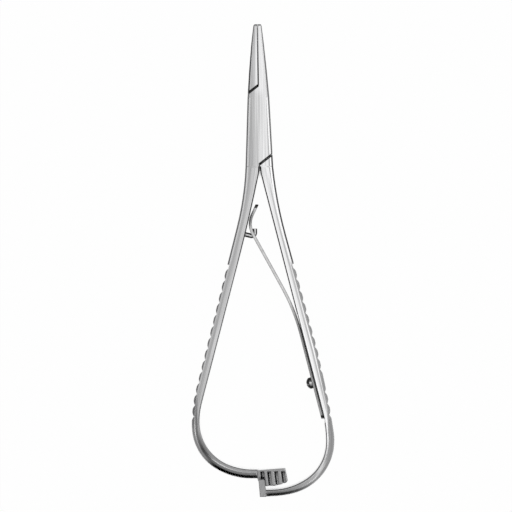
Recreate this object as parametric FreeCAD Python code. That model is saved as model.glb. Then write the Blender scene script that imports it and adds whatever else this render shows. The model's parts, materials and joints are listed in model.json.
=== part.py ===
import FreeCAD
import Part

import math
import os

# Needle holder with sprung bow handles, closed and locked.
# Millimetres. Jaws point to +Y, the front face looks to +Z, the back rests on z = 0.
# The origin is the pivot's axis on the resting plane.

V = FreeCAD.Vector

# Thickness along Z, the bevel of the inner edges, and the two facets that round off each
# outer edge, as corners: distance in from the side, distance down from the face
body_thickness = 5.6
tip_thickness = 2.4
inner_bevel = 0.3
outer_facets = [(0.9, 0.0), (0.45, 0.14), (0.0, 0.55)]
bow_facets = [(1.8, 0.0), (0.9, 0.33), (0.0, 1.1)]

# Jaws, seen from the front: height, half widths left and right of the middle
jaw_tip_y = 29.85
jaw_root_y = 8.0
box_end_y = -12.3
jaw_rows = [
    (jaw_root_y, 3.22, 3.22),
    (16.0, 2.65, 2.6),
    (24.0, 1.9, 1.83),
    (jaw_tip_y, 1.15, 1.19),
]
jaw_tip_round = 0.5
jaw_gap = 0.1

# Serration of the gripping faces, whose teeth mesh
serration_start_y = 13.0
serration_pitch = 0.8
serration_count = 20
serration_depth = 0.12

# Sides of both arms, from the end of the box to the end of the bow: distance from the
# middle, lean outward in degrees, then straight runs by length and arcs by radius and
# turn, where an outward turn is positive. A last straight run ends at the bow's end.
left_outer = (4.1, 3.0, [
    ("arc", 86.3, 11.9), ("line", 49.2), ("arc", 45.0, -14.8), ("arc", 14.55, -57.1),
    ("arc", 19.85, -33.0),
])
left_inner = (0.06, 2.0, [
    ("line", 1.3), ("arc", 5.0, 10.3), ("arc", 490.0, 3.0), ("line", 44.3), ("arc", 21.1, -14.1),
    ("arc", 13.85, -69.4), ("arc", 19.45, -21.8),
])
right_outer = (4.07, 5.1, [
    ("arc", 125.0, 9.4), ("line", 33.8), ("arc", 60.0, -3.05), ("line", 13.3), ("arc", 60.0, -3.05),
    ("line", 6.6), ("arc", 16.1, -85.0), ("arc", 29.4, -11.4),
])
right_inner = (0.21, 4.0, [
    ("line", 1.6), ("arc", 5.0, 9.7), ("line", 72.25), ("arc", 36.5, -14.1), ("arc", 13.2, -56.0),
    ("arc", 18.5, -31.6),
])
left_bow_end_x = -1.9
right_bow_end_x = -1.2

# Run of each outer side, counted from 0, in which its facets widen to those of the bow,
# and the number of steps of a curved one
left_widening = 2
right_widening = 5
widening_steps = 4

# Half width of the jaws under which their facets narrow with them
facet_full_width = 2.6

# Box lock
shoulder_y = 11.7
shoulder_slope = 0.76
shoulder_gap = 0.5
cheek_thickness = 1.5
tenon_side_gap = 0.08
tenon_edge_gap = 0.12
web_run = 3.7
web_drop = 8.4
pin_diameter = 3.0
pin_clearance = 0.04

# Grip ridges on the outer side of both handles
ridge_pitch = 3.36
ridge_count = 14
ridge_start_y = -42.2
ridge_radius = 2.7
ridge_overshoot = 0.06
ridge_step = 1.1
ridge_margin = 0.9

# Ratchet: the rack on the left bow, with its corners seen from the front
rack_thickness = 2.7
rack_outline = [
    (-2.6, -102.2),
    (6.4, -101.65),
    (7.1, -105.3),
    (6.6, -106.05),
    (3.6, -106.85),
    (-0.6, -106.95),
    (-1.35, -106.2),
    (-1.95, -104.35),
    (-2.6, -104.35),
]
rack_middle_y = -104.5
rack_groove_low_y = -107.7
rack_groove_top_y = -102.65
rack_grooves = 4
rack_pitch = 2.05
rack_first_x = 0.33
rack_depth = 0.95
rack_floor = 0.65
rack_ramp = 0.55
rack_lean = 6.0

# Ratchet: the catch on the right bow, in front of the rack
catch_outline = [
    (-1.2, -109.9),
    (-1.55, -105.15),
    (-1.3, -104.9),
    (-0.1, -104.7),
    (0.3, -105.0),
    (0.62, -108.2),
    (0.62, -109.9),
]
catch_clearance = 0.15
catch_tooth_height = 0.8
catch_tooth_low_y = -106.9
catch_tooth_top_y = -105.0
catch_tooth_gap = 0.1
catch_tooth_land = 0.28
catch_tooth_ramp = 0.6
catch_tooth_overlap = 0.2

# Leaf spring on the right handle
spring_thickness = 0.9
spring_width = 4.4
spring_tip_width = 3.0
spring_foot_round = 1.1
spring_foot_y = -87.2
spring_tip_length = 3.4
spring_bend = 60.0
spring_curl = 6.4
spring_rise_lean = 28.1
spring_tip_lean = 26.0
spring_touch_y = -27.6
spring_touch_gap = 0.1
spring_seat_top_y = -56.0
spring_seat_depth = 0.1
spring_seat_margin = 1.0
slot_width = 1.9
slot_length = 6.2

# Screw that holds the spring
screw_y = -76.3
screw_head_diameter = 3.4
screw_head_height = 1.7
screw_dome_height = 0.94
screw_diameter = 1.8
screw_depth = 1.7
screw_slot_width = 0.5
screw_slot_depth = 0.6
screw_hole_clearance = 0.1

# Hooked guide post on the left shank
post_y = -32.3
post_diameter = 1.45
post_reach = 2.9
post_hook = 2.4
post_root = 1.6
post_bend = 0.95

# Room that cutting shapes have beyond what they cut, how close counts as touching, and
# a half width that takes in the whole instrument
room = 2.0
touch = 0.001
wide = 30.0

mid_z = body_thickness / 2
block_reach = 2 * left_outer[0]
crotch_left = -left_inner[0]
crotch_right = right_inner[0]


def heading(sign, lean):
    """Direction down an arm; sign is -1 for the left arm and 1 for the right one."""
    return V(sign * math.sin(lean), -math.cos(lean), 0)


def outward(sign, lean):
    """Direction away from the middle, square to an arm."""
    return V(sign * math.cos(lean), math.sin(lean), 0)


def trace(side, sign, end_x):
    """Runs of one side: start, lean, radius (0 if straight, positive outward), end, lean."""
    x, degrees, parts = side
    point = V(sign * x, box_end_y, 0)
    lean = math.radians(degrees)
    runs = []
    for kind, size, *turn in parts:
        if kind == "line":
            radius = 0
            end_lean = lean
            end = point + heading(sign, lean) * size
        else:
            radius = math.copysign(size, turn[0])
            end_lean = lean + math.radians(turn[0])
            centre = point + outward(sign, lean) * radius
            end = centre - outward(sign, end_lean) * radius
        runs.append((point, lean, radius, end, end_lean))
        point = end
        lean = end_lean
    down = heading(sign, lean)
    end = point + down * ((end_x - point.x) / down.x)
    runs.append((point, lean, 0, end, lean))
    return runs


left_outer_runs = trace(left_outer, -1, left_bow_end_x)
left_inner_runs = trace(left_inner, -1, left_bow_end_x)
right_outer_runs = trace(right_outer, 1, right_bow_end_x)
right_inner_runs = trace(right_inner, 1, right_bow_end_x)


def run_edge(sign, run):
    """Edge of one run of a side."""
    start, lean, radius, end, end_lean = run
    if radius == 0:
        return Part.LineSegment(start, end).toShape()
    centre = start + outward(sign, lean) * radius
    middle = centre - outward(sign, (lean + end_lean) / 2) * radius
    return Part.Arc(start, middle, end).toShape()


def side_at(runs, sign, y):
    """Point of a side at height y, with its directions down and outward."""
    for start, lean, radius, end, end_lean in runs:
        if end.y <= y:
            break
    if radius == 0:
        point = start + heading(sign, lean) * ((start.y - y) / math.cos(lean))
    else:
        centre = start + outward(sign, lean) * radius
        lean = math.asin((centre.y - y) / radius)
        point = centre - outward(sign, lean) * radius
    return point, heading(sign, lean), outward(sign, lean)


def edges_along(solid, plan):
    """Front and back edges of a flat solid that follow the given edges of its plan."""
    found = []
    for edge in solid.Edges:
        if edge.BoundBox.ZLength > touch:
            continue
        middle = edge.valueAt((edge.FirstParameter + edge.LastParameter) / 2)
        below = Part.Vertex(middle.x, middle.y, 0)
        if min(p.distToShape(below)[0] for p in plan) < touch:
            found.append(edge)
    return found


def facets_at(share):
    """Corners of the facets on the way from the handle's (0) to the bow's (1)."""
    corners = []
    for handle, bow in zip(outer_facets, bow_facets):
        corners.append([h + (b - h) * share for h, b in zip(handle, bow)])
    return corners


def facet_profile(start, out, face_z, side, share):
    """Outline of what the facets take off at one point; side is 1 in front, -1 at the back."""
    corners = [start - out * inset + V(0, 0, face_z - side * drop) for inset, drop in facets_at(share)]
    drop = facets_at(share)[-1][1]
    corners.append(corners[-1] + out * room)
    corners.append(corners[-1] + V(0, 0, side * (drop + room)))
    corners.append(corners[0] + V(0, 0, side * room))
    corners.append(corners[0])
    return Part.makePolygon(corners)


def facet_cutter(sign, run, face_z, side, first, last):
    """The facets' cut along one run of an outer side; first and last are its shares of the bow's."""
    start, lean, radius, end, end_lean = run
    centre = start + outward(sign, lean) * radius
    if first == last:
        profile = Part.Face(facet_profile(start, outward(sign, lean), face_z, side, first))
        if radius == 0:
            return profile.extrude(end - start)
        return profile.revolve(centre, V(0, 0, 1), math.degrees(end_lean - lean) * sign)
    steps = 1 if radius == 0 else widening_steps
    rows = []
    for i in range(steps + 1):
        part = i / steps
        out = outward(sign, lean + (end_lean - lean) * part)
        point = start + (end - start) * part if radius == 0 else centre - out * radius
        rows.append(facet_profile(point, out, face_z, side, first + (last - first) * part))
    return Part.makeLoft(rows, True, True)


def arm(outer_runs, inner_runs, sign, widening):
    """Shank, handle and bow of one half, with facets outside and a bevel inside."""
    outer = [run_edge(sign, run) for run in outer_runs]
    inner = [run_edge(sign, run) for run in inner_runs]
    root = Part.LineSegment(outer_runs[0][0], inner_runs[0][0]).toShape()
    end = Part.LineSegment(outer_runs[-1][3], inner_runs[-1][3]).toShape()
    outline = Part.Wire(Part.__sortEdges__(outer + inner + [root, end]))
    solid = Part.Face(outline).extrude(V(0, 0, body_thickness))
    solid = solid.makeChamfer(inner_bevel, edges_along(solid, inner))
    for i, run in enumerate(outer_runs):
        first = 1 if i > widening else 0
        last = 0 if i < widening else 1
        solid = solid.cut(facet_cutter(sign, run, body_thickness, 1, first, last))
        solid = solid.cut(facet_cutter(sign, run, 0, -1, first, last))
    return solid


def plate(points, low, high):
    """Flat piece with straight sides."""
    corners = [V(x, y, low) for x, y in points]
    corners.append(corners[0])
    face = Part.Face(Part.makePolygon(corners))
    return face.extrude(V(0, 0, high - low))


def section(y, left, right, thickness):
    """Outline across the jaws or the box, with the facets at all four corners."""
    share = min(1, left / facet_full_width)
    half = thickness / 2
    corners = []
    for x_side, z_side in ((1, 1), (-1, 1), (-1, -1), (1, -1)):
        side = right if x_side > 0 else -left
        corner = [V(side - x_side * inset * share, y, mid_z + z_side * (half - drop * share))
                  for inset, drop in outer_facets]
        if x_side == z_side:
            corner.reverse()
        corners.extend(corner)
    corners.append(corners[0])
    return Part.makePolygon(corners)


def box_and_jaws():
    """Both jaws and the box as one block, before they are parted."""
    rows = [section(box_end_y, left_outer[0], right_outer[0], body_thickness)]
    for y, left, right in jaw_rows:
        share = (y - jaw_root_y) / (jaw_tip_y - jaw_root_y)
        thickness = body_thickness + (tip_thickness - body_thickness) * share
        rows.append(section(y, left, right, thickness))
    return round_tip(Part.makeLoft(rows, True, True))


def round_tip(jaws):
    """Takes the sharp corners off the end of the jaws, in plan and from the side."""
    r = jaw_tip_round
    y, left, right = jaw_rows[-1]
    y = y - r
    for x, side in ((r - left, -1), (right - r, 1)):
        block = Part.makeBox(2 * r, 2 * r, body_thickness, V(x - r + side * r, y, 0))
        jaws = jaws.cut(block.cut(Part.makeCylinder(r, body_thickness, V(x, y, 0))))
    for side in (-1, 1):
        z = mid_z + side * (tip_thickness / 2 - r)
        block = Part.makeBox(2 * block_reach, 2 * r, 2 * r, V(-block_reach, y, z - r + side * r))
        jaws = jaws.cut(block.cut(Part.makeCylinder(r, 2 * block_reach, V(-block_reach, y, z), V(1, 0, 0))))
    return jaws


def ridge_cutter(top, bottom, stepped):
    """Space between two neighbouring ridges, in plan; top and bottom are their crests."""
    along = bottom - top
    pitch = along.Length
    t = along / pitch
    out = V(t.y, -t.x, 0)
    if out.x * top.x < 0:
        out = out * -1

    def at(s, n):
        return top + t * (pitch / 2 + s) + out * n

    def crest_arc(s):
        return math.sqrt(ridge_radius ** 2 - s ** 2) - ridge_radius + ridge_overshoot

    cusp = at(0, crest_arc(pitch / 2))
    edges = []
    if stepped:
        near = at(-ridge_step, crest_arc(pitch / 2))
        start = at(-ridge_step, ridge_margin)
        edges.append(Part.LineSegment(start, near).toShape())
        edges.append(Part.LineSegment(near, cusp).toShape())
    else:
        near = at(-pitch / 2, ridge_overshoot)
        start = at(-pitch / 2, ridge_margin)
        edges.append(Part.LineSegment(start, near).toShape())
        edges.append(Part.Arc(near, at(-pitch / 4, crest_arc(pitch / 4)), cusp).toShape())
    end = at(pitch / 2, ridge_overshoot)
    close = at(pitch / 2, ridge_margin)
    edges.append(Part.Arc(cusp, at(pitch / 4, crest_arc(pitch / 4)), end).toShape())
    edges.append(Part.LineSegment(end, close).toShape())
    edges.append(Part.LineSegment(close, start).toShape())
    face = Part.Face(Part.Wire(edges))
    face.translate(V(0, 0, -room))
    return face.extrude(V(0, 0, body_thickness + 2 * room))


def ridged(handle, runs, sign, keep_y=None):
    """Cuts the grip ridges; the wall behind a screw keeps its full thickness."""
    for i in range(ridge_count):
        y = ridge_start_y - i * ridge_pitch
        if keep_y is not None and abs(y - keep_y) < ridge_pitch / 2:
            continue
        top = side_at(runs, sign, y + ridge_pitch / 2)[0]
        bottom = side_at(runs, sign, y - ridge_pitch / 2)[0]
        handle = handle.cut(ridge_cutter(top, bottom, i == 0))
    return handle


def shoulder_at(sign, offset, x):
    """Height of a shoulder's line at x; sign 1 is the upper left one, -1 the lower right one."""
    tilt = math.sqrt(1 + shoulder_slope ** 2)
    return sign * shoulder_y + offset * tilt + shoulder_slope * x


def upper_left(offset, right_x):
    """Region of the left jaw: above the upper shoulder, left of the toothed parting line."""
    top = jaw_tip_y + room
    outline = [
        (-block_reach, shoulder_at(1, offset, -block_reach)),
        (right_x, shoulder_at(1, offset, right_x)),
        (right_x, serration_start_y),
    ]
    for i in range(serration_count):
        y = serration_start_y + i * serration_pitch
        outline.append((right_x + serration_depth, y + serration_pitch / 2))
        outline.append((right_x, y + serration_pitch))
    outline.append((right_x, top))
    outline.append((-block_reach, top))
    return plate(outline, -room, body_thickness + room)


def lower_right(offset, left_x):
    """Region of the right shank's root: below the lower shoulder."""
    outline = [
        (left_x, box_end_y),
        (block_reach, box_end_y),
        (block_reach, shoulder_at(-1, offset, block_reach)),
        (left_x, shoulder_at(-1, offset, left_x)),
    ]
    return plate(outline, -room, body_thickness + room)


def tenon_plan(clearance, low, high):
    """The tenon seen from the front, with the box's two webs left out."""
    drop = web_drop / web_run
    slant = clearance * math.sqrt(1 + drop ** 2)
    upper_x = -jaw_gap / 2 + clearance
    lower_x = crotch_right - clearance
    ends = shoulder_y + room

    def upper_web(x):
        return shoulder_y + slant - drop * (x + jaw_gap / 2)

    def lower_web(x):
        return -shoulder_y - slant - drop * (x - crotch_right)

    outline = [
        (-block_reach, ends),
        (upper_x, ends),
        (upper_x, upper_web(upper_x)),
        (block_reach, upper_web(block_reach)),
        (block_reach, -ends),
        (lower_x, -ends),
        (lower_x, lower_web(lower_x)),
        (-block_reach, lower_web(-block_reach)),
    ]
    return plate(outline, low, high)


def rack_point(x, y, z):
    """Point at height y on a tooth's line; x is where the line crosses the rack's middle."""
    return V(x - math.tan(math.radians(rack_lean)) * (y - rack_middle_y), y, z)


def slanted(profile, x, z, low_y, top_y):
    """Bar along a tooth's line, with its profile given across the rack."""
    start = rack_point(x, low_y, z)
    corners = [start + V(dx, 0, dz) for dx, dz in profile]
    corners.append(corners[0])
    return Part.Face(Part.makePolygon(corners)).extrude(rack_point(x, top_y, z) - start)


def rack():
    """Toothed plate at the end of the left bow: steep walls on the right, ramps on the left."""
    block = plate(rack_outline, 0, rack_thickness)
    profile = [
        (-rack_floor - rack_ramp, room),
        (-rack_floor - rack_ramp, 0),
        (-rack_floor, -rack_depth),
        (0, -rack_depth),
        (0, room),
    ]
    for i in range(rack_grooves):
        x = rack_first_x + i * rack_pitch
        block = block.cut(slanted(profile, x, rack_thickness, rack_groove_low_y, rack_groove_top_y))
    return block


def catch():
    """Hook at the end of the right bow, in front of the rack, with its tooth behind."""
    low = rack_thickness + catch_clearance + catch_tooth_height
    hook = plate(catch_outline, low, body_thickness)
    steep = -catch_tooth_gap
    profile = [
        (steep - catch_tooth_land - catch_tooth_ramp, catch_tooth_overlap),
        (steep - catch_tooth_land, -catch_tooth_height),
        (steep, -catch_tooth_height),
        (steep, catch_tooth_overlap),
    ]
    tooth = slanted(profile, rack_first_x, low, catch_tooth_low_y, catch_tooth_top_y)
    return hook.fuse(tooth)


def seat_line():
    """Point of the spring's seat behind its screw, with the directions down and inward."""
    point, down, out = side_at(right_inner_runs, 1, screw_y)
    return point + out * spring_seat_depth, down, out * -1


def down_to(line, down, y):
    """Point at height y on a line."""
    return line + down * ((y - line.y) / down.y)


def post_foot():
    """Foot of the guide post on the left shank's inner side, and the inward direction."""
    point, down, out = side_at(left_inner_runs, -1, post_y)
    return point + V(0, 0, mid_z), out * -1


def crossing(p, u, q, v):
    """Where two lines of the plan cross."""
    gap = q - p
    return p + u * ((gap.x * v.y - gap.y * v.x) / (u.x * v.y - u.y * v.x))


def left_of(direction):
    """Direction of the plan a quarter turn to the left."""
    return V(-direction.y, direction.x, 0)


def spring_corners():
    """Corners of the spring's centre line, from its foot to its tip."""
    base, down, inward = seat_line()
    foot = down_to(base + inward * (spring_thickness / 2), down, spring_foot_y)
    rising = heading(1, math.radians(180 + spring_rise_lean))
    ending = heading(1, math.radians(180 - spring_tip_lean))
    face, face_down, face_out = side_at(left_inner_runs, -1, spring_touch_y)
    centre = face - face_out * (spring_curl + spring_thickness / 2 + spring_touch_gap)
    leave_rise = centre + left_of(rising) * spring_curl
    leave_tip = centre + left_of(ending) * spring_curl
    knee = crossing(foot, down, leave_rise, rising)
    curl = crossing(leave_rise, rising, leave_tip, ending)
    return [foot, knee, curl, leave_tip + ending * spring_tip_length]


def strip_edges(corners, radii, offset):
    """One side of a strip: straight runs and arcs, offset to the left of its centre line."""
    directions = []
    for p, q in zip(corners, corners[1:]):
        directions.append((q - p).normalize())
    position = corners[0] + left_of(directions[0]) * offset
    edges = []
    for corner, a, b, radius in zip(corners[1:], directions, directions[1:], radii):
        turn = math.asin(a.x * b.y - a.y * b.x)
        tangent = radius * math.tan(abs(turn) / 2)
        across = left_of(a)
        middle_across = left_of((a + b).normalize())
        start = corner - a * tangent + across * offset
        end = corner + b * tangent + left_of(b) * offset
        bend = math.copysign(radius, turn)
        centre = corner - a * tangent + across * bend
        middle = centre + middle_across * (offset - bend)
        edges.append(Part.LineSegment(position, start).toShape())
        edges.append(Part.Arc(start, middle, end).toShape())
        position = end
    last = corners[-1] + left_of(directions[-1]) * offset
    edges.append(Part.LineSegment(position, last).toShape())
    return edges


def strip_profile():
    """The spring seen from the front."""
    corners = spring_corners()
    radii = [spring_bend, spring_curl]
    one = strip_edges(corners, radii, spring_thickness / 2)
    two = strip_edges(corners, radii, -spring_thickness / 2)
    foot = Part.LineSegment(one[0].Vertexes[0].Point, two[0].Vertexes[0].Point).toShape()
    tip = Part.LineSegment(one[-1].Vertexes[1].Point, two[-1].Vertexes[1].Point).toShape()
    return Part.Face(Part.Wire(Part.__sortEdges__(one + two + [foot, tip])))


def leaf_spring():
    """Strip with a rounded foot and tip, a slot for the post and a hole for the screw."""
    corners = spring_corners()
    strip = strip_profile()
    strip.translate(V(0, 0, mid_z - spring_width / 2))
    strip = strip.extrude(V(0, 0, spring_width))
    strip = strip.common(side_outline(corners[0].y, corners[-1].y))
    foot, inward = post_foot()
    strip = strip.cut(slot_cutter(foot.y + inward.y * post_reach / 2))
    base, down, inward = seat_line()
    radius = screw_diameter / 2 + screw_hole_clearance
    start = base - inward * room + V(0, 0, mid_z)
    return strip.cut(Part.makeCylinder(radius, spring_thickness + 2 * room, start, inward))


def side_outline(low_y, high_y):
    """The strip seen from the side: a wide foot with round corners, a narrower round tip."""
    half = spring_width / 2
    tip_half = spring_tip_width / 2
    r = spring_foot_round

    def p(y, z):
        return V(-wide, y, mid_z + z)

    edges = [
        Part.LineSegment(p(low_y + r, -half), p(high_y - tip_half, -tip_half)),
        Part.Arc(p(high_y - tip_half, -tip_half), p(high_y, 0), p(high_y - tip_half, tip_half)),
        Part.LineSegment(p(high_y - tip_half, tip_half), p(low_y + r, half)),
        Part.Arc(p(low_y + r, half), p(low_y, 0), p(low_y + r, -half)),
    ]
    outline = Part.Wire([edge.toShape() for edge in edges])
    return Part.Face(outline).extrude(V(2 * wide, 0, 0))


def slot_cutter(middle_y):
    """Long slot in the spring that the guide post passes through."""
    r = slot_width / 2
    flat = slot_length / 2 - r
    reach = block_reach
    cutter = Part.makeBox(reach, 2 * flat, slot_width, V(-reach, middle_y - flat, mid_z - r))
    for y in (middle_y - flat, middle_y + flat):
        cutter = cutter.fuse(Part.makeCylinder(r, reach, V(-reach, y, mid_z), V(1, 0, 0)))
    return cutter


def spring_screw():
    """Round-headed screw; its driver slot lies across the strip."""
    base, down, inward = seat_line()
    r = screw_head_diameter / 2
    top = spring_thickness + screw_head_height
    ball = (r ** 2 + screw_dome_height ** 2) / (2 * screw_dome_height)
    head = Part.makeCylinder(r, screw_head_height, V(0, 0, spring_thickness))
    head = head.common(Part.makeSphere(ball, V(0, 0, top - ball)))
    slot = Part.makeBox(4 * r, screw_slot_width, screw_slot_depth)
    slot.translate(V(-2 * r, -screw_slot_width / 2, top - screw_slot_depth))
    shank = Part.makeCylinder(screw_diameter / 2, screw_depth + spring_thickness, V(0, 0, -screw_depth))
    screw = head.cut(slot).fuse(shank).removeSplitter()
    screw.Placement = FreeCAD.Placement(base + V(0, 0, mid_z), FreeCAD.Rotation(V(0, 0, 1), inward))
    return screw


def guide_post():
    """Round wire that stands on the shank and hooks upward past the spring."""
    foot, inward = post_foot()
    start = foot - inward * post_root
    corner = foot + inward * post_reach
    up = V(0, 1, 0)
    turn = inward.getAngle(up)
    setback = post_bend * math.tan(turn / 2)
    bend_start = corner - inward * setback
    bend_end = corner + up * setback
    disc = Part.Face(Part.Wire(Part.Circle(start, inward, post_diameter / 2).toShape()))
    first = disc.extrude(bend_start - start)
    disc.translate(bend_start - start)
    bend = disc.revolve(bend_start + left_of(inward) * post_bend, V(0, 0, 1), math.degrees(turn))
    last = Part.makeCylinder(post_diameter / 2, post_hook - setback, bend_end, up)
    return first.fuse([bend, last]).removeSplitter()


def make_box_half(block):
    """Right jaw, box, left shank, left handle, left bow and rack."""
    half_gap = shoulder_gap / 2
    left = ridged(arm(left_outer_runs, left_inner_runs, -1, left_widening), left_outer_runs, -1)
    body = block.cut(upper_left(-half_gap, jaw_gap / 2))
    body = body.cut(lower_right(half_gap, crotch_left))
    body = body.cut(tenon_plan(tenon_edge_gap, cheek_thickness, body_thickness - cheek_thickness))
    body = body.fuse([left, rack()])
    foot, inward = post_foot()
    root = Part.makeCylinder(post_diameter / 2, post_root + room, foot - inward * post_root, inward)
    body = body.cut(Part.makeCylinder(pin_diameter / 2, body_thickness))
    return body.cut(root).removeSplitter()


def make_tenon_half(block):
    """Left jaw, tenon, right shank, right handle, right bow and catch."""
    half_gap = shoulder_gap / 2
    right = ridged(arm(right_outer_runs, right_inner_runs, 1, right_widening), right_outer_runs, 1, screw_y)
    jaw = block.common(upper_left(half_gap, -jaw_gap / 2))
    root = block.common(lower_right(-half_gap, crotch_right))
    low = cheek_thickness + tenon_side_gap
    tenon = block.common(tenon_plan(0, low, body_thickness - low))
    body = tenon.fuse([jaw, root, right, catch()])
    body = body.cut(Part.makeCylinder(pin_diameter / 2 + pin_clearance, body_thickness))
    base, down, inward = seat_line()
    seat_top = down_to(base, down, spring_seat_top_y)
    seat_end = down_to(base, down, spring_foot_y - spring_seat_margin)
    across = inward * (2 * spring_thickness)
    outline = [seat_top, seat_end, seat_end + across, seat_top + across]
    body = body.cut(plate([(p.x, p.y) for p in outline], -room, body_thickness + room))
    hole = base - inward * screw_depth + V(0, 0, mid_z)
    body = body.cut(Part.makeCylinder(screw_diameter / 2, screw_depth + room, hole, inward))
    return body.removeSplitter()


def build():
    block = box_and_jaws()
    return {
        "box_half": make_box_half(block),
        "tenon_half": make_tenon_half(block),
        "pivot_pin": Part.makeCylinder(pin_diameter / 2, body_thickness),
        "leaf_spring": leaf_spring(),
        "spring_screw": spring_screw(),
        "guide_post": guide_post(),
    }


os.makedirs("parts", exist_ok=True)
for name, shape in build().items():
    shape.exportStep("parts/" + name + ".step")
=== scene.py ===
import json
import math

import bmesh
import bpy
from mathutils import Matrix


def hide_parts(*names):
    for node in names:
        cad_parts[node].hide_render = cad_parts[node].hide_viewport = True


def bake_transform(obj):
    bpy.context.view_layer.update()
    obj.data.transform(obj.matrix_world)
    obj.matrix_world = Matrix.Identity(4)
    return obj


# Looks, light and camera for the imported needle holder.
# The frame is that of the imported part: +Y to the jaws, +X right in the photo, +Z to the viewer.
# Objects are in metres. The materials and the tables below work in millimetres from the pivot,
# on the frame's axes.

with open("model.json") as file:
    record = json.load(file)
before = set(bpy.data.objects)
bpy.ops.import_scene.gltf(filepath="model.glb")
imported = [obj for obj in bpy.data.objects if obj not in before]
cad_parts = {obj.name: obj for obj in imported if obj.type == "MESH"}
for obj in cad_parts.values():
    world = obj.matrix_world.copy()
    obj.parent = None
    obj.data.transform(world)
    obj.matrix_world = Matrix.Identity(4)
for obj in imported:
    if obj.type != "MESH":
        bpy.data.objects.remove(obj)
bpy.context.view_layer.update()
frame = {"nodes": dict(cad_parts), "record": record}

MM = 0.001

# Camera, in metres: straight above the instrument, turned a little about its own axis
CAMERA_HEIGHT = 1.0
CAMERA_FOCUS_Z = 0.004
CAMERA_X = -0.00137
CAMERA_Y = -0.03873
CAMERA_TURN = math.radians(0.8)
CAMERA_REACH = 20.0
FRAME_HEIGHT = 0.15145
SENSOR = 36.0

# Middle and half width of each arm by height, for the grain and the camber. The jump at
# BOX_END is where the box, which is as wide as both arms, ends.
BOX_END = (-12.29, -12.31)
LEFT_LINE = [
    (30.0, 0.0, 1.2), (8.0, 0.0, 3.3), (BOX_END[0], 0.0, 4.1), (BOX_END[1], -2.08, 2.02),
    (-13.5, -2.2, 2.0), (-19.0, -2.97, 1.75), (-25.0, -4.17, 1.54), (-31.0, -5.64, 1.52),
    (-79.0, -18.54, 1.4), (-85.0, -19.73, 1.2), (-91.0, -19.62, 1.3), (-97.0, -16.86, 1.8),
    (-110.0, -6.0, 3.0),
]
RIGHT_LINE = [
    (30.0, 0.0, 1.2), (8.0, 0.0, 3.3), (BOX_END[0], 0.0, 4.1), (BOX_END[1], 2.14, 1.93),
    (-13.5, 2.25, 1.9), (-19.0, 3.17, 1.68), (-25.0, 4.41, 1.45), (-31.0, 5.8, 1.4),
    (-67.0, 14.82, 1.63), (-79.0, 17.51, 1.4), (-85.0, 18.79, 1.2), (-91.0, 19.7, 1.2),
    (-97.0, 19.42, 1.23), (-110.0, 12.0, 3.0),
]
LINE_TOP = 30.0
LINE_BOTTOM = -110.0
LINE_HALF = 25.0

# Camber of the faces, as the sideways lean of the surface from the left edge (0) to the
# right edge (1) of the jaws, the box and each arm
JAW_CAMBER = [
    (0.0, -0.12), (0.2, -0.09), (0.3, -0.03), (0.42, 0.03), (0.49, 0.05), (0.51, 0.1),
    (0.65, 0.1), (0.8, 0.04), (1.0, 0.08),
]
BOX_CAMBER = [
    (0.0, -0.1), (0.17, -0.09), (0.21, -0.07), (0.27, -0.05), (0.38, -0.02), (0.5, 0.0),
    (0.62, 0.03), (0.78, 0.06), (0.83, 0.05), (0.85, -0.08), (0.885, -0.08), (0.9, 0.06),
    (1.0, 0.08),
]
LEFT_CAMBER = [
    (0.0, -0.1), (0.34, -0.09), (0.42, -0.07), (0.53, -0.06), (0.6, -0.03), (0.85, -0.02),
    (1.0, -0.02),
]
RIGHT_CAMBER = [
    (0.0, 0.12), (0.2, 0.12), (0.34, 0.06), (0.42, 0.06), (0.48, -0.04), (0.57, -0.05),
    (0.63, 0.08), (1.0, 0.1),
]
LEAN_RANGE = 0.5

# Heights between which the camber passes from the box to the jaws and to the arms
TO_JAWS = (8.0, 12.0)
TO_ARMS = (-12.5, -22.0)

# The jaws' faces slope down to the tips. The shading leaves that out at JAW_SLOPE_START and
# lets it in again up to JAW_SLOPE_END, so that the tone has no step where the slope starts.
JAW_SLOPE = 0.073
JAW_SLOPE_START = (8.0, 8.02)
JAW_SLOPE_END = 22.0

# The bows' faces lean outward from a point between them. Soft normals are used only where
# they turn outward, by BOW_INNER, so that the inner edges stay crisp.
TO_BOWS = (-82.0, -92.0)
BOW_CENTRE = (0.0, -88.0, 0.0)
BOW_LEAN = 0.1
BOW_ROUGHNESS = 0.6
BOW_INNER = (-0.001, -0.0001)

# Radius of the soft edges
ARM_EDGE = 0.12
BOW_EDGE = 0.5
FITTING_EDGE = 0.2
EDGE_SAMPLES = 4

# The pin's ground face shows no edge within this radius
PIN_RADIUS = (2.0, 2.4)

# Grain: how fine it is across and along an arm, and how far it sways the surface
GRAIN_ACROSS = 2.6
GRAIN_ALONG = 0.04
GRAIN_SWAY = 0.025
GRAIN_TONE = (0.86, 1.1)
PLAIN_GRAIN = 0.9
FINE_GRAIN = 5.2
FINE_ROUGHNESS = (0.85, 1.15)
RELIEF_STRENGTH = 0.1
RELIEF_DEPTH = 0.02
NOISE_MIDDLE = (0.3, 0.7)

# Ranges of how far a face points upward, 0 to 1, that tell the surfaces apart
FLAT_FACE = (0.965, 0.99)
INNER_FACET_FROM = (0.9, 0.945)
INNER_FACET_TO = (0.965, 0.975)
OUTER_FACET = (0.78, 0.86)
UPRIGHT_SIDE = (0.716, 0.732)

# Painted shade by openness within GAP_REACH: black in narrow gaps, darker beside a wall
GAP_REACH = 1.2
GAP_SAMPLES = 6
GAP_SHADE = [(0.24, 0.0), (0.4, 0.03), (0.5, 0.5), (0.58, 1.0)]
STRIP_GAP_SHADE = [(0.7, 0.0), (0.8, 0.12), (0.88, 0.65), (0.95, 1.0)]
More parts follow.
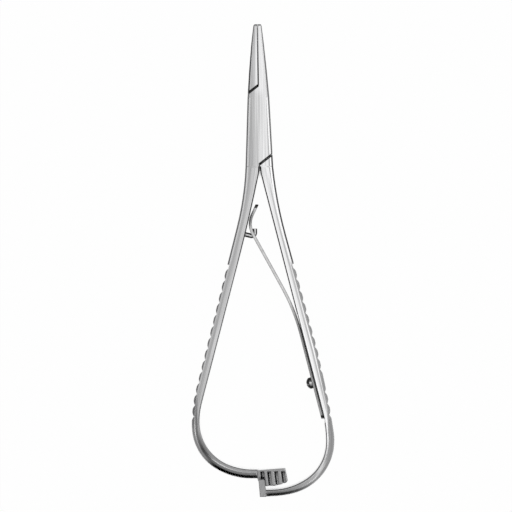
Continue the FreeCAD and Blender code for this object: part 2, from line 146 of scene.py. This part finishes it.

# Painted shade where the jaws meet: distance from the middle, height of its start, and tone
PARTING_WIDTH = (0.17, 0.26)
PARTING_START = (11.4, 12.0)
PARTING_SHADE = 0.08

# Painted shade in the lines where the shoulders of both halves meet: each runs at a height
# of SHOULDER_Y above or below the pivot plus SHOULDER_SLOPE times x, between two places along x.
# They are
# only on the outer faces, which lie further than SHOULDER_DEPTH from the middle plane.
MIDDLE_PLANE = 2.8
SHOULDER_Y = 11.7
SHOULDER_SLOPE = 0.76
SHOULDER_SPANS = [(1.0, -2.75, 0.1), (-1.0, -0.15, 3.7)]
SHOULDER_WIDTH = (0.42, 0.56)
SHOULDER_DEPTH = (2.0, 2.1)
SHOULDER_FADE = 0.1
SHOULDER_SHADE = 0.02

# The grip ridges start at RIDGES_TOP and pass into the bows over RIDGES_END
RIDGES_TOP = (-40.0, -42.0)
RIDGES_END = (-86.0, -90.0)

# The ratchet's catch lies below and left of these, with painted shade on its rims
CATCH_Y = (-104.0, -104.2)
CATCH_X = (0.7, 0.8)
CATCH_RIM_SHADE = (0.75, 0.985, 0.2)

# Painted shade on the upright sides of the arms, the leaf spring and the fittings, and along
# their rims. A rim is given as a range of the measure that finds the edge, and the tone at its
# low end.
ARM_SIDE_SHADE = 0.25
STRIP_SIDE_SHADE = 0.15
STRIP_RIM_SHADE = (0.6, 0.92, 0.3)
STRIP_RIM_REACH = 0.3
FITTING_SIDE_SHADE = 0.12
FITTING_RIM_SHADE = (0.74, 0.97, 0.1)

# Leaf spring, in metres: length of the pieces that it is cut into, and the tolerance of the cuts
SPRING_STEP = 1.2 * MM
CUT_TOLERANCE = 1e-7

# Floor: white wherever it is open, by openness within NEAR_REACH, with painted shadow next to
# the steel. The gaps between the jaws and in the fork under the box get painted shadow as long
# as the steel above them is close, by openness within WIDE_REACH; each is given by its middle
# height, half height, half width and range of openness.
FLOOR_SIZE = 6.0
FLOOR_DROP = 0.05
FLOOR_GRAY = 0.9
FLOOR_OPEN = (0.15, 0.42)
FLOOR_GLOW = 0.985
NEAR_REACH = 1.0
WIDE_REACH = 6.0
FLOOR_GAP_SHADOWS = [
    (20.6, (8.6, 9.0), (0.5, 0.7), (0.42, 0.52)),
    (-12.4, (0.8, 1.3), (0.6, 0.7), (0.12, 0.25)),
]

# Light of the studio by direction. Each row is one side that light comes from: degrees
# from the front, to the right positive, then the level by the distance from straight
# above, 0 to 1 at the horizon. The first and last row are the same side.
STUDIO_LIGHT = [
    (-180, [(0.0, 0.8), (0.1, 0.9), (0.2, 1.0), (0.3, 1.0), (0.45, 0.4), (0.6, 0.06),
            (1.0, 0.1)]),
    (-150, [(0.0, 0.8), (0.2, 0.75), (0.3, 0.7), (0.5, 0.4), (0.7, 0.2), (1.0, 0.22)]),
    (-120, [(0.0, 0.8), (0.1, 0.62), (0.2, 0.52), (0.4, 0.34), (0.55, 0.9), (0.65, 0.3),
            (1.0, 0.25)]),
    (-86, [(0.0, 0.8), (0.1, 0.62), (0.2, 0.5), (0.3, 0.4), (0.4, 0.34), (0.47, 0.5),
           (0.54, 0.95), (0.59, 0.9), (0.62, 0.3), (0.68, 0.17), (0.73, 0.6), (0.8, 1.6),
           (0.88, 1.6), (0.95, 0.4), (1.0, 0.26)]),
    (-72, [(0.0, 0.8), (0.1, 0.62), (0.23, 0.38), (0.4, 0.25), (0.65, 0.12), (0.75, 0.5),
           (0.85, 1.0), (0.93, 0.4), (1.0, 0.3)]),
    (-57, [(0.0, 0.8), (0.1, 0.6), (0.2, 0.28), (0.26, 0.2), (0.4, 0.08), (0.6, 0.03),
           (0.7, 0.08), (0.85, 0.25), (1.0, 0.3)]),
    (-47, [(0.0, 0.8), (0.1, 0.6), (0.2, 0.38), (0.26, 0.33), (0.4, 0.1), (0.55, 0.04),
           (0.7, 0.11), (0.85, 0.22), (1.0, 0.28)]),
    (-34, [(0.0, 0.8), (0.1, 0.6), (0.2, 0.38), (0.28, 0.4), (0.34, 0.8), (0.42, 1.5),
           (0.54, 1.4), (0.61, 0.7), (0.66, 0.3), (0.73, 0.0), (1.0, 0.0)]),
    (-13, [(0.0, 0.8), (0.1, 0.7), (0.2, 0.38), (0.28, 0.4), (0.45, 0.65), (0.62, 0.6),
           (0.68, 0.3), (0.75, 0.0), (1.0, 0.0)]),
    (5, [(0.0, 0.8), (0.1, 0.7), (0.2, 0.36), (0.28, 0.4), (0.45, 0.6), (0.62, 0.5),
         (0.68, 0.28), (0.76, 0.01), (1.0, 0.01)]),
    (17, [(0.0, 0.8), (0.1, 0.75), (0.2, 0.36), (0.28, 0.38), (0.45, 0.42), (0.66, 0.38),
          (0.76, 0.3), (0.86, 0.15), (1.0, 0.08)]),
    (40, [(0.0, 0.8), (0.1, 0.85), (0.2, 0.42), (0.28, 0.43), (0.5, 0.4), (0.68, 0.4),
          (0.75, 1.1), (0.82, 1.9), (0.9, 1.6), (0.95, 0.4), (1.0, 0.34)]),
    (50, [(0.0, 0.8), (0.1, 0.95), (0.2, 0.5), (0.27, 0.5), (0.36, 1.0), (0.45, 1.6),
          (0.58, 1.6), (0.67, 0.9), (0.74, 0.42), (1.0, 0.34)]),
    (64, [(0.0, 0.8), (0.1, 1.05), (0.2, 1.2), (0.26, 1.4), (0.4, 1.6), (0.52, 1.2),
          (0.62, 0.4), (1.0, 0.34)]),
    (86, [(0.0, 0.8), (0.06, 0.94), (0.12, 1.05), (0.2, 1.14), (0.28, 1.16), (0.35, 0.85),
          (0.42, 0.8), (0.49, 1.2), (0.53, 1.5), (0.6, 1.5), (0.64, 0.36), (0.8, 0.32),
          (1.0, 0.36)]),
    (120, [(0.0, 0.8), (0.2, 1.12), (0.35, 0.95), (0.55, 1.4), (0.66, 0.35), (1.0, 0.3)]),
    (150, [(0.0, 0.8), (0.2, 1.1), (0.3, 1.15), (0.5, 0.9), (0.7, 0.3), (1.0, 0.2)]),
    (180, [(0.0, 0.8), (0.1, 0.9), (0.2, 1.0), (0.3, 1.0), (0.45, 0.4), (0.6, 0.06),
           (1.0, 0.1)]),
]
LIGHT_MAX = 2.0


def node_tree(owner):
    """The emptied node tree of a material or world."""
    owner.use_nodes = True
    tree = owner.node_tree
    tree.nodes.clear()
    return tree


def feed(tree, socket, value):
    """Sets a socket to a number or links it to another socket."""
    if isinstance(value, bpy.types.NodeSocket):
        tree.links.new(value, socket)
    else:
        socket.default_value = value


def calc(tree, operation, a, b=0.0):
    made = tree.nodes.new("ShaderNodeMath")
    made.operation = operation
    feed(tree, made.inputs[0], a)
    feed(tree, made.inputs[1], b)
    return made.outputs["Value"]


def product(tree, value, *factors):
    for factor in factors:
        value = calc(tree, "MULTIPLY", value, factor)
    return value


def ranged(tree, value, low, high, to_low, to_high, kind="LINEAR"):
    """The value carried over from one range to another and kept inside it."""
    made = tree.nodes.new("ShaderNodeMapRange")
    made.interpolation_type = kind
    feed(tree, made.inputs["Value"], value)
    made.inputs["From Min"].default_value = low
    made.inputs["From Max"].default_value = high
    made.inputs["To Min"].default_value = to_low
    made.inputs["To Max"].default_value = to_high
    return made.outputs["Result"]


def rising(tree, value, ends, kind="LINEAR"):
    """0 at the first end, 1 at the second."""
    return ranged(tree, value, *ends, 0.0, 1.0, kind)


def falling(tree, value, ends, kind="LINEAR"):
    """1 at the first end, 0 at the second."""
    return ranged(tree, value, *ends, 1.0, 0.0, kind)


def distance(tree, value, middle):
    return calc(tree, "ABSOLUTE", calc(tree, "SUBTRACT", value, middle))


def blended(tree, a, b, share):
    """a where share is 0, b where it is 1."""
    back = calc(tree, "SUBTRACT", 1.0, share)
    return calc(tree, "ADD", product(tree, a, back), product(tree, b, share))


def darkened(tree, tone, level, mask):
    """The tone times the level where the mask is 1, and unchanged where it is 0."""
    return product(tree, tone, blended(tree, 1.0, level, mask))


def ramp(tree, value, stops):
    """Colour ramp with the given stops: position, then a gray or a colour."""
    made = tree.nodes.new("ShaderNodeValToRGB")
    elements = made.color_ramp.elements
    while len(elements) < len(stops):
        elements.new(0.5)
    stops = sorted(stops)
    for element, stop in zip(elements, stops):
        element.position = stop[0]
    for element, (position, color) in zip(elements, stops):
        if not isinstance(color, tuple):
            color = (color, color, color)
        element.color = (*color, 1.0)
    feed(tree, made.inputs["Fac"], value)
    return made.outputs["Color"]


def noise(tree, place, scale, detail=2.0):
    made = tree.nodes.new("ShaderNodeTexNoise")
    made.inputs["Scale"].default_value = scale
    made.inputs["Detail"].default_value = detail
    feed(tree, made.inputs["Vector"], place)
    return made.outputs["Fac"]


def split(tree, xyz):
    made = tree.nodes.new("ShaderNodeSeparateXYZ")
    feed(tree, made.inputs["Vector"], xyz)
    return made.outputs["X"], made.outputs["Y"], made.outputs["Z"]


def joined(tree, x, y, z):
    made = tree.nodes.new("ShaderNodeCombineXYZ")
    feed(tree, made.inputs["X"], x)
    feed(tree, made.inputs["Y"], y)
    feed(tree, made.inputs["Z"], z)
    return made.outputs["Vector"]


def vector(tree, operation, a, b=(0.0, 0.0, 0.0), result="Vector"):
    made = tree.nodes.new("ShaderNodeVectorMath")
    made.operation = operation
    feed(tree, made.inputs[0], a)
    feed(tree, made.inputs[1], b)
    return made.outputs[result]


def scaled(tree, a, size):
    made = tree.nodes.new("ShaderNodeVectorMath")
    made.operation = "SCALE"
    feed(tree, made.inputs[0], a)
    feed(tree, made.inputs["Scale"], size)
    return made.outputs["Vector"]


def blended_vector(tree, a, b, share):
    back = calc(tree, "SUBTRACT", 1.0, share)
    return vector(tree, "ADD", scaled(tree, a, back), scaled(tree, b, share))


def place_on_object(tree):
    """Place in millimetres."""
    return scaled(tree, tree.nodes.new("ShaderNodeTexCoord").outputs["Object"], 1.0 / MM)


def face_direction(tree):
    return tree.nodes.new("ShaderNodeNewGeometry").outputs["Normal"]


def softened(tree, radius):
    """Direction of the surface with its edges rounded off."""
    made = tree.nodes.new("ShaderNodeBevel")
    made.samples = EDGE_SAMPLES
    feed(tree, made.inputs["Radius"], radius)
    return made.outputs["Normal"]


def upward(tree, direction):
    """How far a direction points up or down: 1 on a level face, 0 on an upright one."""
    return calc(tree, "ABSOLUTE", split(tree, direction)[2])


def openness(tree, reach, inside=False):
    """1 on open faces, towards 0 in narrow gaps. Inside: 1 away from edges, 0.5 at an edge."""
    made = tree.nodes.new("ShaderNodeAmbientOcclusion")
    made.samples = GAP_SAMPLES
    made.inside = inside
    made.only_local = inside
    made.inputs["Distance"].default_value = reach * MM
    return made.outputs["AO"]


def flattened(tree, place):
    """The place as seen from above, without its height."""
    return vector(tree, "MULTIPLY", place, (1.0, 1.0, 0.0))


def arm_across(tree, x, y, line):
    """Place across the arm, 0 at its left side and 1 at its right, and offset from its middle."""
    height = rising(tree, y, (LINE_BOTTOM, LINE_TOP))
    stops = []
    for at, middle, half in line:
        position = (at - LINE_BOTTOM) / (LINE_TOP - LINE_BOTTOM)
        stops.append((position, (middle / LINE_HALF / 2 + 0.5, half / LINE_HALF, 0.0)))
    coded = split(tree, ramp(tree, height, stops))
    middle = ranged(tree, coded[0], 0.0, 1.0, -LINE_HALF, LINE_HALF)
    half = product(tree, coded[1], LINE_HALF)
    offset = calc(tree, "SUBTRACT", x, middle)
    return rising(tree, calc(tree, "DIVIDE", offset, half), (-1.0, 1.0)), offset


def camber_lean(tree, across, stops):
    coded = ramp(tree, across, [(at, lean / LEAN_RANGE / 2 + 0.5) for at, lean in stops])
    return ranged(tree, split(tree, coded)[0], 0.0, 1.0, -LEAN_RANGE, LEAN_RANGE)


def arm_lean(tree, across, y, camber, box_part):
    """Sideways lean by the camber of the jaws, the box and the arm, which pass into each other."""
    below = rising(tree, y, BOX_END)
    box_across = calc(tree, "ADD", product(tree, across, 0.5), box_part)
    lean = camber_lean(tree, blended(tree, across, box_across, below), BOX_CAMBER)
    to_jaws = rising(tree, y, TO_JAWS, "SMOOTHSTEP")
    lean = blended(tree, lean, camber_lean(tree, across, JAW_CAMBER), to_jaws)
    to_arms = rising(tree, y, TO_ARMS, "SMOOTHSTEP")
    return blended(tree, lean, camber_lean(tree, across, camber), to_arms)


def jaw_slope(tree, y):
    start = ranged(tree, y, *JAW_SLOPE_START, 0.0, -JAW_SLOPE)
    return product(tree, start, falling(tree, y, (TO_JAWS[0], JAW_SLOPE_END), "SMOOTHSTEP"))


def arm_direction(tree, place, y, lean, bows, bare, soft):
    """Direction of an arm's surface: the level faces lean, and outer edges are rounded."""
    out = flattened(tree, vector(tree, "SUBTRACT", place, BOW_CENTRE))
    out = scaled(tree, vector(tree, "NORMALIZE", out), product(tree, bows, BOW_LEAN))
    flat = rising(tree, upward(tree, bare), FLAT_FACE)
    sideways = joined(tree, lean, jaw_slope(tree, y), 0.0)
    tilt = scaled(tree, vector(tree, "ADD", sideways, out), flat)

    away_from_pin = rising(tree, vector(tree, "LENGTH", flattened(tree, place), result="Value"),
                           PIN_RADIUS)
    outer = rising(tree, vector(tree, "DOT_PRODUCT", soft, out, "Value"), BOW_INNER)
    rounded = blended_vector(tree, bare, soft, product(tree, away_from_pin, outer))
    return vector(tree, "NORMALIZE", vector(tree, "ADD", rounded, tilt))


def base_tone(tree, streak, up, side_tone, gap_tone):
    """Grain, with painted shade: darker on upright sides and in narrow gaps."""
    grain = ranged(tree, streak, *NOISE_MIDDLE, *GRAIN_TONE)
    sides = blended(tree, side_tone, 1.0, rising(tree, up, UPRIGHT_SIDE))
    gaps = split(tree, ramp(tree, openness(tree, GAP_REACH), gap_tone))[0]
    return product(tree, grain, sides, gaps)


def painted_seam_shade(tree, tone, x, y, z):
    """Painted shade in the lines where both halves meet: between the jaws and at the shoulders."""
    line = product(tree, falling(tree, distance(tree, x, 0.0), PARTING_WIDTH),
                   rising(tree, y, PARTING_START))
    tone = darkened(tree, tone, PARTING_SHADE, line)
    face = rising(tree, distance(tree, z, MIDDLE_PLANE), SHOULDER_DEPTH)
    for side, first, last in SHOULDER_SPANS:
        rise = calc(tree, "SUBTRACT", y, product(tree, x, SHOULDER_SLOPE))
        line = product(tree, face,
                       falling(tree, distance(tree, rise, side * SHOULDER_Y), SHOULDER_WIDTH),
                       rising(tree, x, (first - SHOULDER_FADE, first)),
                       falling(tree, x, (last, last + SHOULDER_FADE)))
        tone = darkened(tree, tone, SHOULDER_SHADE, line)
    return tone


def painted_facet_and_catch_shade(tree, tone, x, y, up, soft, grip, outline):
    """Tones of painted dark reflection on the grip facets, and of painted shade on the catch."""
    ridges = rising(tree, y, RIDGES_TOP)
    inner_facet = product(tree, rising(tree, up, INNER_FACET_FROM),
                          falling(tree, up, INNER_FACET_TO))
    inner_facet = product(tree, inner_facet, ridges, falling(tree, y, RIDGES_END))
    tone = darkened(tree, tone, grip, inner_facet)

    catch = product(tree, rising(tree, y, CATCH_Y), falling(tree, x, CATCH_X))
    tone = darkened(tree, tone, painted_rim_shade(tree, upward(tree, soft), CATCH_RIM_SHADE), catch)

    level = ranged(tree, ridges, 0.0, 1.0, *outline)
    level = blended(tree, level, 1.0, rising(tree, y, RIDGES_END))
    return darkened(tree, tone, level, falling(tree, up, OUTER_FACET))


def painted_rim_shade(tree, measure, limits):
    # Painted shade along a rim: the tone falls to its low value at the edge
    low, high, tone = limits
    return ranged(tree, measure, low, high, tone, 1.0)


def finished(tree, color, tone, direction, place, roughness):
    """Puts the metal together, with a fine relief."""
    fine = noise(tree, place, FINE_GRAIN)
    relief = tree.nodes.new("ShaderNodeBump")
    relief.inputs["Strength"].default_value = RELIEF_STRENGTH
    relief.inputs["Distance"].default_value = RELIEF_DEPTH * MM
    feed(tree, relief.inputs["Height"], fine)
    feed(tree, relief.inputs["Normal"], direction)

    shader = tree.nodes.new("ShaderNodeBsdfPrincipled")
    shader.inputs["Metallic"].default_value = 1.0
    feed(tree, shader.inputs["Base Color"], scaled(tree, color, tone))
    feed(tree, shader.inputs["Normal"], relief.outputs["Normal"])
    feed(tree, shader.inputs["Roughness"],
         product(tree, ranged(tree, fine, *NOISE_MIDDLE, *FINE_ROUGHNESS), roughness))
    output = tree.nodes.new("ShaderNodeOutputMaterial")
    tree.links.new(shader.outputs["BSDF"], output.inputs["Surface"])


def arm_steel(name, color, roughness, line, camber, box_part, grip, outline, low_side):
    """Satin steel of one half, with a grain drawn along its arm and the camber of its faces.

    box_part: where the arm goes on from the box's camber, 0 for its left half, 0.5 for its right.
    grip: tone of the inner facet along the grip ridges, a painted dark reflection.
    outline: tone of the outer facet above the ridges and along them, a painted dark reflection.
    low_side: two heights, and the tone that the upright sides reach from the first to the
    second: painted light and shade.
    """
    material = bpy.data.materials.new(name)
    tree = node_tree(material)
    place = place_on_object(tree)
    x, y, z = split(tree, place)
    across, offset = arm_across(tree, x, y, line)
    bare = face_direction(tree)
    bows = rising(tree, y, TO_BOWS, "SMOOTHSTEP")
    soft = softened(tree, ranged(tree, bows, 0.0, 1.0, ARM_EDGE * MM, BOW_EDGE * MM))

    drawn = joined(tree, product(tree, offset, GRAIN_ACROSS), product(tree, y, GRAIN_ALONG), 0.0)
    streak = noise(tree, drawn, scale=1.0, detail=3.0)
    sway = ranged(tree, streak, *NOISE_MIDDLE, -GRAIN_SWAY, GRAIN_SWAY)
    lean = calc(tree, "ADD", arm_lean(tree, across, y, camber, box_part), sway)
    lean = blended(tree, lean, 0.0, bows)
    direction = arm_direction(tree, place, y, lean, bows, bare, soft)

    up = upward(tree, bare)
    # Painted light and shade on the upright sides, changing with height
    side_from, side_to, side_tone = low_side
    side = ranged(tree, y, side_from, side_to, ARM_SIDE_SHADE, side_tone)
    tone = base_tone(tree, streak, up, side, GAP_SHADE)
    tone = painted_seam_shade(tree, tone, x, y, z)
    tone = painted_facet_and_catch_shade(tree, tone, x, y, up, soft, grip, outline)
    roughness = ranged(tree, bows, 0.0, 1.0, roughness, roughness * BOW_ROUGHNESS)
    finished(tree, color, tone, direction, place, roughness)
    return material


def strip_steel(name, color, roughness):
    """Smooth steel of the leaf spring, with crisp edges that are darker by painted shade."""
    material = bpy.data.materials.new(name)
    tree = node_tree(material)
    place = place_on_object(tree)
    bare = face_direction(tree)
    streak = noise(tree, place, PLAIN_GRAIN)
    tone = base_tone(tree, streak, upward(tree, bare), STRIP_SIDE_SHADE, STRIP_GAP_SHADE)
    rim = painted_rim_shade(tree, openness(tree, STRIP_RIM_REACH, inside=True), STRIP_RIM_SHADE)
    finished(tree, color, product(tree, tone, rim), bare, place, roughness)
    return material


def fitting_steel(name, color, roughness):
    """Polished steel of the screw and the post, with soft edges darkened by painted shade."""
    material = bpy.data.materials.new(name)
    tree = node_tree(material)
    place = place_on_object(tree)
    soft = softened(tree, FITTING_EDGE * MM)
    streak = noise(tree, place, PLAIN_GRAIN)
    tone = base_tone(tree, streak, upward(tree, face_direction(tree)), FITTING_SIDE_SHADE, GAP_SHADE)
    rim = painted_rim_shade(tree, upward(tree, soft), FITTING_RIM_SHADE)
    finished(tree, color, product(tree, tone, rim), soft, place, roughness)
    return material


def finishes():
    """Gives every piece the finish of its slot."""
    made = {
        "satin_steel": arm_steel(
            "satin_steel", (0.8, 0.8, 0.805), 0.14, LEFT_LINE, LEFT_CAMBER, box_part=0.0,
            grip=0.8, outline=(0.6, 0.6), low_side=(-25.0, -50.0, 1.25)),
        # Same steel as the left half; its slightly lighter colour is painted light
        "satin_steel_right": arm_steel(
            "satin_steel_right", (0.82, 0.82, 0.825), 0.14, RIGHT_LINE, RIGHT_CAMBER, box_part=0.5,
            grip=0.35, outline=(0.25, 1.0), low_side=(-80.0, -88.0, 0.55)),
        "spring_steel": strip_steel("spring_steel", (0.72, 0.72, 0.72), 0.14),
        "polished_steel": fitting_steel("polished_steel", (0.8, 0.8, 0.8), 0.1),
    }
    for part in frame["record"]["subparts"]:
        mesh = frame["nodes"][part["node"]].data
        mesh.materials.clear()
        mesh.materials.append(made[part["material_slot"]])


def bending_spring():
    """The leaf spring cut into short lengths, in place of the imported one."""
    strip = frame["nodes"]["leaf_spring"]
    mesh = strip.data.copy()
    mesh.name = "bending_spring"
    mesh.transform(strip.matrix_world)
    cut = bmesh.new()
    cut.from_mesh(mesh)
    low = min(v.co.y for v in cut.verts)
    high = max(v.co.y for v in cut.verts)
    y = low + SPRING_STEP
    while y < high:
        everything = cut.verts[:] + cut.edges[:] + cut.faces[:]
        bmesh.ops.bisect_plane(cut, geom=everything, dist=CUT_TOLERANCE,
                               plane_co=(0, y, 0), plane_no=(0, 1, 0))
        y += SPRING_STEP
    cut.to_mesh(mesh)
    cut.free()
    piece = bpy.data.objects.new("bending_spring", mesh)
    bpy.context.scene.collection.objects.link(piece)
    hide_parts("leaf_spring")
    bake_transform(piece)


def floor():
    """White floor, also in the steel, with a faint shadow, real and painted, dark in narrow gaps.
    """
    bpy.ops.mesh.primitive_plane_add(size=FLOOR_SIZE, location=(0, 0, -FLOOR_DROP * MM))
    plane = bpy.context.object
    plane.name = "floor"
    material = bpy.data.materials.new("floor")
    tree = node_tree(material)
    matte = tree.nodes.new("ShaderNodeBsdfDiffuse")
    matte.inputs["Color"].default_value = (FLOOR_GRAY, FLOOR_GRAY, FLOOR_GRAY, 1.0)
    glow = tree.nodes.new("ShaderNodeEmission")
    glow.inputs["Strength"].default_value = 1.0

    rays = tree.nodes.new("ShaderNodeLightPath").outputs
    share = calc(tree, "MAXIMUM", rays["Is Camera Ray"], rays["Is Glossy Ray"])
    share = calc(tree, "MAXIMUM", share, rays["Is Transmission Ray"])
    # Painted shadow: the glow is taken back where the floor is closed in
    near = openness(tree, NEAR_REACH)
    share = product(tree, share, ranged(tree, near, *FLOOR_OPEN, 0.0, FLOOR_GLOW))
    x, y = split(tree, place_on_object(tree))[:2]
    wide = openness(tree, WIDE_REACH)
    for middle, half_height, half_width, closed in FLOOR_GAP_SHADOWS:
        gap = product(tree, falling(tree, distance(tree, y, middle), half_height),
                      falling(tree, distance(tree, x, 0.0), half_width))
        share = darkened(tree, share, rising(tree, wide, closed), gap)

    mix = tree.nodes.new("ShaderNodeMixShader")
    output = tree.nodes.new("ShaderNodeOutputMaterial")
    tree.links.new(share, mix.inputs["Fac"])
    tree.links.new(matte.outputs["BSDF"], mix.inputs[1])
    tree.links.new(glow.outputs["Emission"], mix.inputs[2])
    tree.links.new(mix.outputs["Shader"], output.inputs["Surface"])
    plane.data.materials.append(material)


def light(tree, away, stops):
    """Light level of one side, as a share of LIGHT_MAX."""
    return split(tree, ramp(tree, away, [(at, level / LIGHT_MAX) for at, level in stops]))[0]


def studio():
    """World light that depends on the direction alone."""
    world = bpy.data.worlds.new("studio")
    bpy.context.scene.world = world
    tree = node_tree(world)
    x, y = split(tree, tree.nodes.new("ShaderNodeTexCoord").outputs["Generated"])[:2]
    square = calc(tree, "ADD", product(tree, x, x), product(tree, y, y))
    away = calc(tree, "SQRT", square)
    side = calc(tree, "ARCTAN2", x, product(tree, y, -1.0))
    last, stops = STUDIO_LIGHT[0]
    level = light(tree, away, stops)
    for degrees, stops in STUDIO_LIGHT[1:]:
        share = rising(tree, side, (math.radians(last), math.radians(degrees)))
        level = blended(tree, level, light(tree, away, stops), share)
        last = degrees
    background = tree.nodes.new("ShaderNodeBackground")
    background.inputs["Color"].default_value = (1.0, 1.0, 1.0, 1.0)
    tree.links.new(product(tree, level, LIGHT_MAX), background.inputs["Strength"])
    output = tree.nodes.new("ShaderNodeOutputWorld")
    tree.links.new(background.outputs["Background"], output.inputs["Surface"])


def camera():
    data = bpy.data.cameras.new("camera")
    data.sensor_width = SENSOR
    data.lens = SENSOR * CAMERA_HEIGHT / FRAME_HEIGHT
    data.clip_end = CAMERA_REACH
    eye = bpy.data.objects.new("camera", data)
    bpy.context.scene.collection.objects.link(eye)
    eye.location = (CAMERA_X, CAMERA_Y, CAMERA_FOCUS_Z + CAMERA_HEIGHT)
    eye.rotation_euler = (0, 0, -CAMERA_TURN)
    bpy.context.scene.camera = eye


finishes()
bending_spring()
floor()
studio()
camera()
bpy.context.scene.view_settings.view_transform = "Standard"
